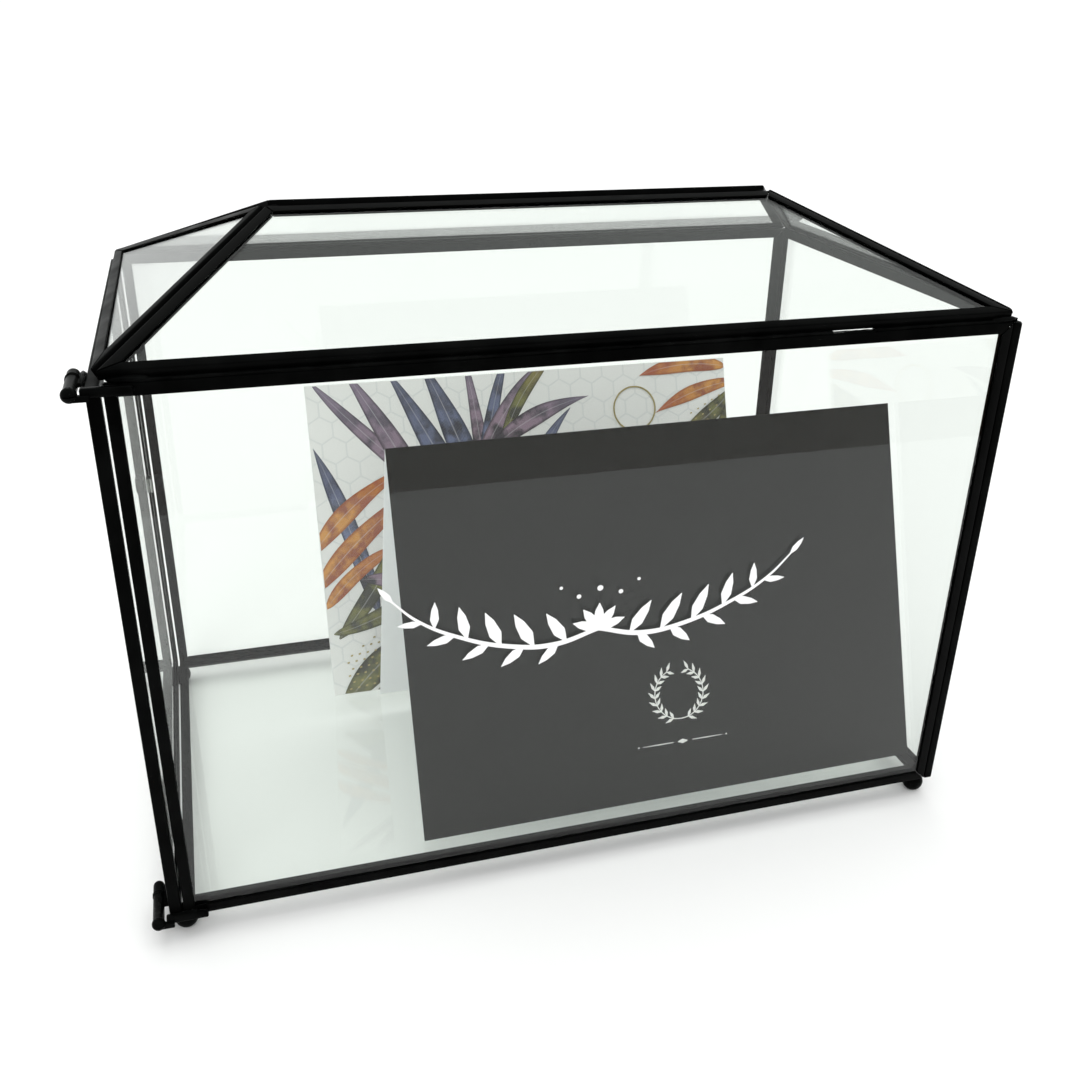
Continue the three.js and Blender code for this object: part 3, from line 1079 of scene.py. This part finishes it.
# Paper fibre, shared by the pale side of this card and by the greeting card
paper_fibre, start, end = new_group(
    "paper_fibre",
    {"Light": "Color", "Shade": "Color"},
    {"Color": "Color", "Height": "Float"},
)
tree = paper_fibre
place = add_node(tree, "TexCoord")
fibre = add_node(
    tree,
    "TexNoise",
    {"Vector": place.outputs["Object"], "Scale": 1100.0, "Detail": 6.0, "Roughness": 0.7},
)
pulp = add_node(tree, "TexNoise", {"Vector": place.outputs["Object"], "Scale": 40.0, "Detail": 2.0})
both = add_node(
    tree, "Math", {0: fibre.outputs["Fac"], 1: pulp.outputs["Fac"]}, operation="MULTIPLY"
)
tone = mix_colours(tree, both.outputs[0], start.outputs["Shade"], start.outputs["Light"])
tree.links.new(tone.outputs[2], end.inputs["Color"])
tree.links.new(fibre.outputs["Fac"], end.inputs["Height"])

card_pale, tree = new_material("card_pale")
fibre = place_group(
    tree, paper_fibre, {"Light": (0.97, 0.98, 0.98, 1), "Shade": (0.92, 0.94, 0.95, 1)}
)
lift = add_node(
    tree, "Bump", {"Height": fibre.outputs["Height"], "Strength": 0.15, "Distance": 0.03 * mm}
)
matt = add_node(
    tree,
    "BsdfPrincipled",
    {"Base Color": fibre.outputs["Color"], "Roughness": 0.7, "Normal": lift.outputs[0]},
)
show(tree, matt.outputs[0])


def largest_face_place(piece, facing):
    """Where the largest face that looks one way lies: its matrix, width and height."""
    faces = [face for face in piece.data.polygons if face.normal.dot(facing) > 0.7]
    face = max(faces, key=lambda one: one.area)
    corners = [piece.data.vertices[index].co.copy() for index in face.vertices]
    sides = [corners[(i + 1) % len(corners)] - corners[i] for i in range(len(corners))]
    along = max(sides, key=lambda side: side.length).normalized()
    along = along if along.x > 0 else -along
    up = face.normal.cross(along).normalized()
    origin = min(corners, key=lambda corner: corner.dot(along) + corner.dot(up))
    width = max((corner - origin).dot(along) for corner in corners)
    height = max((corner - origin).dot(up) for corner in corners)
    return sheet_place(origin, along, up), width, height


sign = packed_copy("sign_card", "sign_card_folded")
bpy.ops.object.mode_set(mode="OBJECT")
sign_sheet = largest_face_place(sign, Vector((0, -1, 0)))[0]
bpy.ops.object.mode_set(mode="EDIT")
fold_reach = 3 * mm
fold_z = max(vertex.co.z for vertex in sign.data.vertices) - fold_reach
fold_length = 0.1


def is_fold(edge):
    """True for the long sharp edges at the top of the tent."""
    low_end = min(corner.co.z for corner in edge.verts)
    run = abs(edge.verts[0].co.x - edge.verts[1].co.x)
    return is_sharp(edge) and low_end > fold_z and run > fold_length


select_edges(sign, is_fold)
bpy.ops.mesh.bevel(offset=0.35 * mm, segments=3, affect="EDGES", clamp_overlap=True)
bpy.ops.object.mode_set(mode="OBJECT")
finish_piece(sign, sign_charcoal, "box", "sign_card", "sign_card")
sign.data.materials.append(card_pale)
for face in sign.data.polygons:
    face.material_index = 0 if face.normal.z > 0.08 else 1

sign_print, tree = new_material("sign_print")
grain = place_group(
    tree,
    fine_grain,
    {"Dark": (0.62, 0.63, 0.61, 1), "Light": (0.86, 0.86, 0.84, 1), "Scale": 1500.0},
)
matt = add_node(
    tree, "BsdfPrincipled", {"Base Color": grain.outputs["Color"], "Roughness": 0.5}
)
show(tree, matt.outputs[0])

wreath_middle = (91.4, 35.3)
wreath_radius = 8.8
line = 0.18


ornament = []
for side in (-1, 1):
    turns = [math.radians(-90 + 17 * i) for i in range(10)]
    ornament.append(
        [
            (
                wreath_middle[0] + side * wreath_radius * math.cos(turn),
                wreath_middle[1] + wreath_radius * math.sin(turn),
                line,
            )
            for turn in turns
        ]
    )
    for turn in turns[1:]:
        for lean, length in ((38, 3.4), (-46, 2.9)):
            heading = turn + math.radians(90 - lean)
            ornament.append(
                [
                    (
                        wreath_middle[0]
                        + side * (wreath_radius * math.cos(turn) + share * math.cos(heading)),
                        wreath_middle[1]
                        + wreath_radius * math.sin(turn)
                        + share * math.sin(heading),
                        half,
                    )
                    for share, half in ((0.0, 0.08), (length * 0.45, 0.55), (length, 0.06))
                ]
            )
divider_up = 18.6
ornament.append([(77.0, divider_up, 0.08), (83.0, divider_up, line), (88.0, divider_up, 0.12)])
ornament.append([(95.0, divider_up, 0.12), (100.0, divider_up, line), (106.0, divider_up, 0.08)])
ornament.append([(89.6, divider_up, 0.1), (91.4, divider_up, 0.8), (93.2, divider_up, 0.1)])
ornament.append(bead_at(75.4, divider_up, 0.3))
ornament.append(bead_at(107.6, divider_up, 0.3))
ornament_print = draw_lines("sign_ornament", ornament, sign_sheet, flat=0.05, off=0.05 * mm)
finish_piece(ornament_print, sign_print, "box", "sign_card")


# ---- Greeting card ----
# A closed card that leans back on the rear glass: white satin stock printed with faint hexagons,
# watercolour leaves in plum, slate, rust and olive, and dots and a ring in gold foil.

hexagon_lines, start, end = new_group(
    "hexagon_lines", {"Vector": "Vector", "Size": "Float", "Line": "Float"}, {"Mask": "Float"}
)
tree = hexagon_lines
scaled = add_node(
    tree,
    "VectorMath",
    {0: start.outputs["Vector"], "Scale": start.outputs["Size"]},
    operation="SCALE",
)
cell = (1.0, 1.7320508, 1.0)
half_cell = (0.5, 0.8660254, 0.0)


def hexagon_offset(vector, shift):
    """Distance from the middle of the nearest cell of one of the two grids."""
    moved = add_node(tree, "VectorMath", {0: vector, 1: shift}, operation="ADD")
    wrapped = add_node(
        tree, "VectorMath", {0: moved.outputs[0], 1: cell, 2: (0, 0, 0)}, operation="WRAP"
    )
    centred = add_node(
        tree, "VectorMath", {0: wrapped.outputs[0], 1: half_cell}, operation="SUBTRACT"
    )
    flat_one = add_node(
        tree, "VectorMath", {0: centred.outputs[0], 1: (1, 1, 0)}, operation="MULTIPLY"
    )
    folded = add_node(tree, "VectorMath", {0: flat_one.outputs[0]}, operation="ABSOLUTE")
    slope = add_node(
        tree, "VectorMath", {0: folded.outputs[0], 1: half_cell}, operation="DOT_PRODUCT"
    )
    parts = add_node(tree, "SeparateXYZ", {0: folded.outputs[0]})
    edge = add_node(
        tree, "Math", {0: slope.outputs["Value"], 1: parts.outputs["X"]}, operation="MAXIMUM"
    )
    return edge.outputs[0]


first = hexagon_offset(scaled.outputs[0], (0, 0, 0))
second = hexagon_offset(scaled.outputs[0], half_cell)
nearest = add_node(tree, "Math", {0: first, 1: second}, operation="MINIMUM")
rim = add_node(tree, "Math", {0: 0.5, 1: start.outputs["Line"]}, operation="SUBTRACT")
mask = add_node(
    tree, "Math", {0: nearest.outputs[0], 1: rim.outputs[0]}, operation="GREATER_THAN"
)
tree.links.new(mask.outputs[0], end.inputs["Mask"])

greeting_stock, tree = new_material("greeting_stock")
fibre = place_group(
    tree, paper_fibre, {"Light": (0.95, 0.95, 0.93, 1), "Shade": (0.87, 0.88, 0.86, 1)}
)
place = add_node(tree, "UVMap", uv_map="sheet")
grid = place_group(
    tree, hexagon_lines, {"Vector": place.outputs[0], "Size": 110.0, "Line": 0.035}
)
faint = add_node(tree, "Math", {0: grid.outputs["Mask"], 1: 0.35}, operation="MULTIPLY")
tone = mix_colours(tree, faint.outputs[0], fibre.outputs["Color"], (0.62, 0.66, 0.66, 1))
lift = add_node(
    tree, "Bump", {"Height": fibre.outputs["Height"], "Strength": 0.12, "Distance": 0.03 * mm}
)
satin = add_node(
    tree,
    "BsdfPrincipled",
    {"Base Color": tone.outputs[2], "Roughness": 0.5, "Normal": lift.outputs[0]},
)
show(tree, satin.outputs[0])

greeting = packed_copy("greeting_card", "greeting_card_closed")
bpy.ops.object.mode_set(mode="OBJECT")
greeting_sheet, greeting_width, greeting_height = largest_face_place(greeting, Vector((0, -1, 0)))
bpy.ops.object.mode_set(mode="EDIT")
select_edges(greeting, is_sharp)
bpy.ops.mesh.bevel(offset=0.12 * mm, segments=2, affect="EDGES", clamp_overlap=True)
bpy.ops.object.mode_set(mode="OBJECT")
finish_piece(greeting, greeting_stock, "box", "greeting_card", "greeting_card")
sheet_map = greeting.data.uv_layers.new(name="sheet")
to_sheet = greeting_sheet.inverted()
for loop in greeting.data.loops:
    spot = to_sheet @ greeting.data.vertices[loop.vertex_index].co
    sheet_map.data[loop.index].uv = (spot.x, spot.y)

# Watercolour: a wash that pools darker at the edge of the leaf and runs from one colour to another
watercolour, start, end = new_group(
    "watercolour",
    {"Deep": "Color", "Wash": "Color", "Tip": "Color"},
    {"Color": "Color"},
)
tree = watercolour
leaf_map = add_node(tree, "UVMap", uv_map="UVMap")
leaf_axes = add_node(tree, "SeparateXYZ", {0: leaf_map.outputs[0]})
place = add_node(tree, "TexCoord")
pool = add_node(
    tree, "TexNoise", {"Vector": place.outputs["Object"], "Scale": 170.0, "Detail": 5.0}
)
pool_range = add_node(
    tree, "MapRange", {"Value": pool.outputs["Fac"], "From Min": 0.40, "From Max": 0.58}
)
washed = mix_colours(tree, pool_range.outputs[0], start.outputs["Deep"], start.outputs["Wash"])
toward_tip = add_node(
    tree, "MapRange", {"Value": leaf_axes.outputs["Y"], "From Min": 0.45, "From Max": 1.0}
)
ran = mix_colours(tree, toward_tip.outputs[0], washed.outputs[2], start.outputs["Tip"])
from_rib = add_node(tree, "Math", {0: leaf_axes.outputs["X"], 1: 0.5}, operation="SUBTRACT")
rib_side = add_node(tree, "Math", {0: from_rib.outputs[0]}, operation="ABSOLUTE")
rib = add_node(
    tree,
    "MapRange",
    {"Value": rib_side.outputs[0], "From Min": 0.0, "From Max": 0.035, "To Min": 0.45, "To Max": 0.0},
)
ribbed = mix_colours(tree, rib.outputs[0], ran.outputs[2], (0.75, 0.75, 0.78, 1))
slant = add_node(
    tree,
    "Math",
    {0: rib_side.outputs[0], 1: -1.6, 2: leaf_axes.outputs["Y"]},
    operation="MULTIPLY_ADD",
)
spaced = add_node(tree, "Math", {0: slant.outputs[0], 1: 11.0}, operation="MULTIPLY")
ramp = add_node(tree, "Math", {0: spaced.outputs[0]}, operation="FRACT")
vein = add_node(
    tree,
    "MapRange",
    {"Value": ramp.outputs[0], "From Min": 0.0, "From Max": 0.30, "To Min": 0.42, "To Max": 0.0},
)
veined = mix_colours(tree, vein.outputs[0], ribbed.outputs[2], (0.62, 0.62, 0.66, 1))
rim_share = add_node(
    tree,
    "MapRange",
    {"Value": rib_side.outputs[0], "From Min": 0.34, "From Max": 0.48, "To Min": 0.0, "To Max": 0.75},
)
edged = mix_colours(tree, rim_share.outputs[0], veined.outputs[2], start.outputs["Deep"])
tree.links.new(edged.outputs[2], end.inputs["Color"])


def leaf_print(name, deep, wash, tip):
    """Printed ink in the colours of one kind of leaf."""
    material, tree = new_material(name)
    paint = place_group(tree, watercolour, {"Deep": deep, "Wash": wash, "Tip": tip})
    ink = add_node(
        tree, "BsdfPrincipled", {"Base Color": paint.outputs["Color"], "Roughness": 0.5}
    )
    show(tree, ink.outputs[0])
    return material


leaf_kinds = {
    "plum": leaf_print(
        "leaf_plum", (0.030, 0.022, 0.034, 1), (0.34, 0.23, 0.31, 1), (0.20, 0.16, 0.24, 1)
    ),
    "slate": leaf_print(
        "leaf_slate", (0.010, 0.014, 0.030, 1), (0.16, 0.20, 0.36, 1), (0.08, 0.09, 0.16, 1)
    ),
    "rust": leaf_print(
        "leaf_rust", (0.36, 0.08, 0.012, 1), (0.74, 0.32, 0.035, 1), (0.50, 0.10, 0.015, 1)
    ),
    "olive": leaf_print(
        "leaf_olive", (0.030, 0.032, 0.008, 1), (0.20, 0.20, 0.035, 1), (0.34, 0.26, 0.05, 1)
    ),
}
# Each leaf: kind, foot, tip, sideways bend and width, in mm on the card
leaves = [
    ("plum", (62, 62), (2, 121), 4, 8.5),
    ("slate", (20, 30), (1, 96), -3, 9.0),
    ("plum", (56, 40), (13, 128), -5, 11.0),
    ("slate", (66, 48), (30, 126), -4, 11.0),
    ("slate", (66, 66), (44, 128), -3, 11.5),
    ("plum", (67, 70), (62, 128), -2, 6.5),
    ("slate", (66, 76), (79, 126), 3, 7.0),
    ("plum", (64, 82), (96, 124), 6, 8.5),
    ("olive", (74, 88), (101, 127), 8, 6.0),
    ("plum", (66, 86), (112, 108), 8, 8.5),
    ("slate", (84, 74), (104, 104), 4, 5.5),
    ("rust", (-4, 54), (37, 86), 7, 8.5),
    ("rust", (-4, 40), (44, 79), 6, 9.5),
    ("rust", (0, 34), (30, 56), 5, 7.0),
    ("olive", (4, 22), (40, 72), -4, 9.0),
    ("olive", (2, 24), (48, 44), -6, 8.0),
    ("plum", (14, 44), (42, 36), 4, 7.0),
    ("olive", (2, -6), (44, 26), 6, 12.0),
    ("olive", (10, -8), (70, 14), 6, 13.0),
    ("rust", (20, -8), (60, 4), 3, 8.0),
    ("rust", (172, 116), (134, 114.5), -5, 8.0),
    ("rust", (176, 110), (140, 99), -4, 7.0),
    ("olive", (176, 108), (146, 88), 5, 8.0),
    ("olive", (177, 108), (158, 74), 5, 9.0),
    ("olive", (174, 100), (170, 66), 3, 7.0),
    ("plum", (176, 96), (150, 62), -4, 7.0),
]
leaf_rows = 22
leaf_lift = 0.012 * mm
ink_thick = 0.010 * mm
by_kind = {kind: [] for kind in leaf_kinds}
for number, (kind, foot_at, tip_at, bend, wide) in enumerate(leaves):
    deselect_all()
    bpy.ops.mesh.primitive_grid_add(x_subdivisions=6, y_subdivisions=leaf_rows, size=1)
    leaf = bpy.context.object
    leaf.name = "leaf"
    foot_point = Vector(foot_at)
    tip_point = Vector(tip_at)
    run = tip_point - foot_point
    side = Vector((-run.y, run.x)).normalized()
    knee = (foot_point + tip_point) / 2 + side * bend
    for vertex in leaf.data.vertices:
        t = min(max(vertex.co.y + 0.5, 0.0), 1.0)
        across = vertex.co.x * 2
        spine = foot_point * (1 - t) ** 2 + knee * 2 * t * (1 - t) + tip_point * t**2
        heading = ((knee - foot_point) * (1 - t) + (tip_point - knee) * t).normalized()
        turned = Vector((-heading.y, heading.x))
        half = 0.42 * wide * math.sin(math.pi * t**0.8) ** 0.8 if 0 < t < 1 else 0.0
        half += wide * 0.03 * math.sin(9 * t + number)
        spot = spine + turned * across * max(half, 0.02)
        vertex.co = (spot.x * mm, spot.y * mm, 0)
    bpy.ops.object.mode_set(mode="EDIT")
    edges = (
        ((0.3 * mm, 0, 0), (-1, 0, 0)),
        ((greeting_width - 0.3 * mm, 0, 0), (1, 0, 0)),
        ((0, 0.3 * mm, 0), (0, -1, 0)),
        ((0, greeting_height - 0.3 * mm, 0), (0, 1, 0)),
    )
    for spot, away in edges:
        bpy.ops.mesh.select_all(action="SELECT")
        bpy.ops.mesh.bisect(plane_co=spot, plane_no=away, clear_outer=True, threshold=cut_tolerance)
    bpy.ops.object.mode_set(mode="OBJECT")
    thick = leaf.modifiers.new("thick", "SOLIDIFY")
    thick.thickness = ink_thick
    thick.offset = 1
    bpy.ops.object.modifier_apply(modifier="thick")
    leaf.data.transform(Matrix.Translation((0, 0, 0.02 * mm + number * leaf_lift)))
    leaf.data.transform(greeting_sheet)
    by_kind[kind].append(leaf)
for kind, group in by_kind.items():
    deselect_all()
    for leaf in group:
        leaf.select_set(True)
    bpy.context.view_layer.objects.active = group[0]
    bpy.ops.object.join()
    joined = bpy.context.object
    joined.name = "greeting_leaves_" + kind
    finish_piece(joined, leaf_kinds[kind], "box", "greeting_card")

foil_gold, tree = new_material("foil_gold")
grain = place_group(
    tree,
    fine_grain,
    {"Dark": (0.42, 0.33, 0.12, 1), "Light": (0.75, 0.62, 0.28, 1), "Scale": 900.0},
)
foil = add_node(
    tree,
    "BsdfPrincipled",
    {"Base Color": grain.outputs["Color"], "Roughness": 0.35, "Metallic": 0.6},
)
show(tree, foil.outputs[0])

foil_ring_middle = (131.0, 101.5)
foil_ring_radius = 8.8
foil_ring_half = 0.32
foil_ring_knots = 12
ring_points = []
for i in range(foil_ring_knots + 1):
    turn = 2 * math.pi * (i % foil_ring_knots) / foil_ring_knots
    across = foil_ring_middle[0] + foil_ring_radius * math.cos(turn)
    up = foil_ring_middle[1] + foil_ring_radius * math.sin(turn)
    ring_points.append((across, up, foil_ring_half))
foil_lines = [ring_points]
for row in range(9):
    for column in range(12):
        across = 6.0 + column * 3.1 + (row % 2) * 1.5
        up = 1.8 + row * 2.6 + column * 0.35
        if up > 12 + 0.55 * across or up < 1.5:
            continue
        foil_lines.append([(across, up, 0.30), (across + 0.9, up + 0.25, 0.30)])
for row in range(5):
    for column in range(5):
        across = 168.0 - column * 3.2 - row * 1.2
        up = 104.0 - row * 4.0 - column * 1.6
        foil_lines.append([(across, up, 0.26), (across + 0.7, up + 0.4, 0.26)])
foil_off = 0.06 * mm + len(leaves) * leaf_lift
foil_print = draw_lines("greeting_foil", foil_lines, greeting_sheet, flat=0.05, off=foil_off)
finish_piece(foil_print, foil_gold, "box", "greeting_card")
